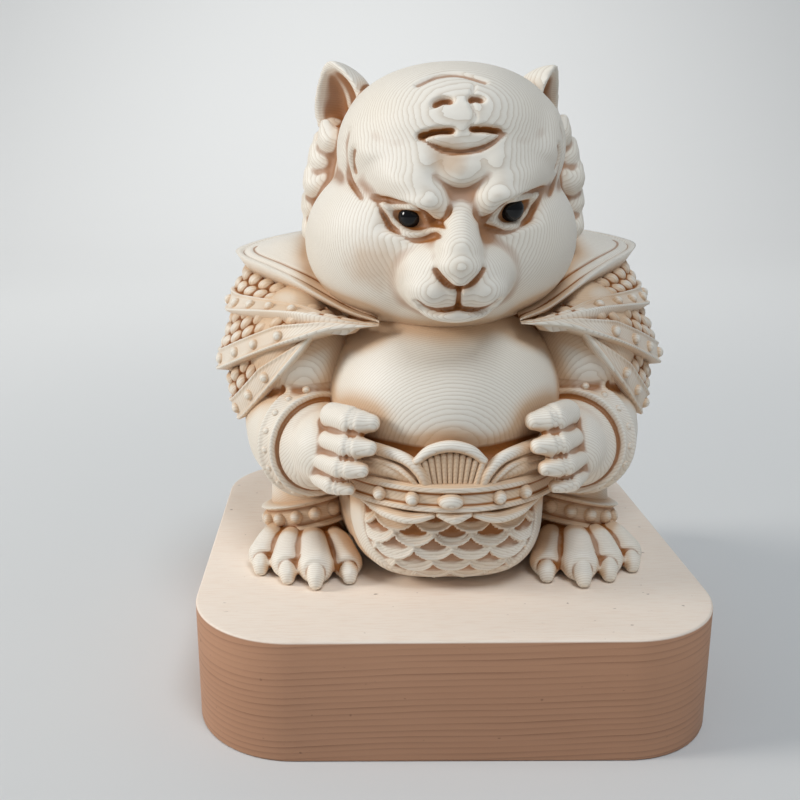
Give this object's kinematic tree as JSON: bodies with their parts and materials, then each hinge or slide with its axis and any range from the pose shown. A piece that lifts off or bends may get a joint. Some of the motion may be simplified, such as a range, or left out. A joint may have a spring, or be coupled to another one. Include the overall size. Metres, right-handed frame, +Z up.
{
  "type": "carved wood tiger figure",
  "caption": "Squat big-headed tiger in scale armour, carved from one piece of pale wood, standing on a rounded square wood plinth.",
  "frame": {"origin": "middle of the plinth's underside", "axes": "+Z up, the figure faces -Y, +X is the viewer's right"},
  "size_m": [0.1, 0.1, 0.1258],
  "materials": {
    "carved_wood": "bare, fine sanded",
    "eye_bead": "glossy black",
    "plinth_wood": "bare, planed"
  },
  "bodies": {
    "root": {"tiger_figure": "carved_wood", "eye_left": "eye_bead", "eye_right": "eye_bead", "plinth": "plinth_wood"}
  },
  "joints": []
}
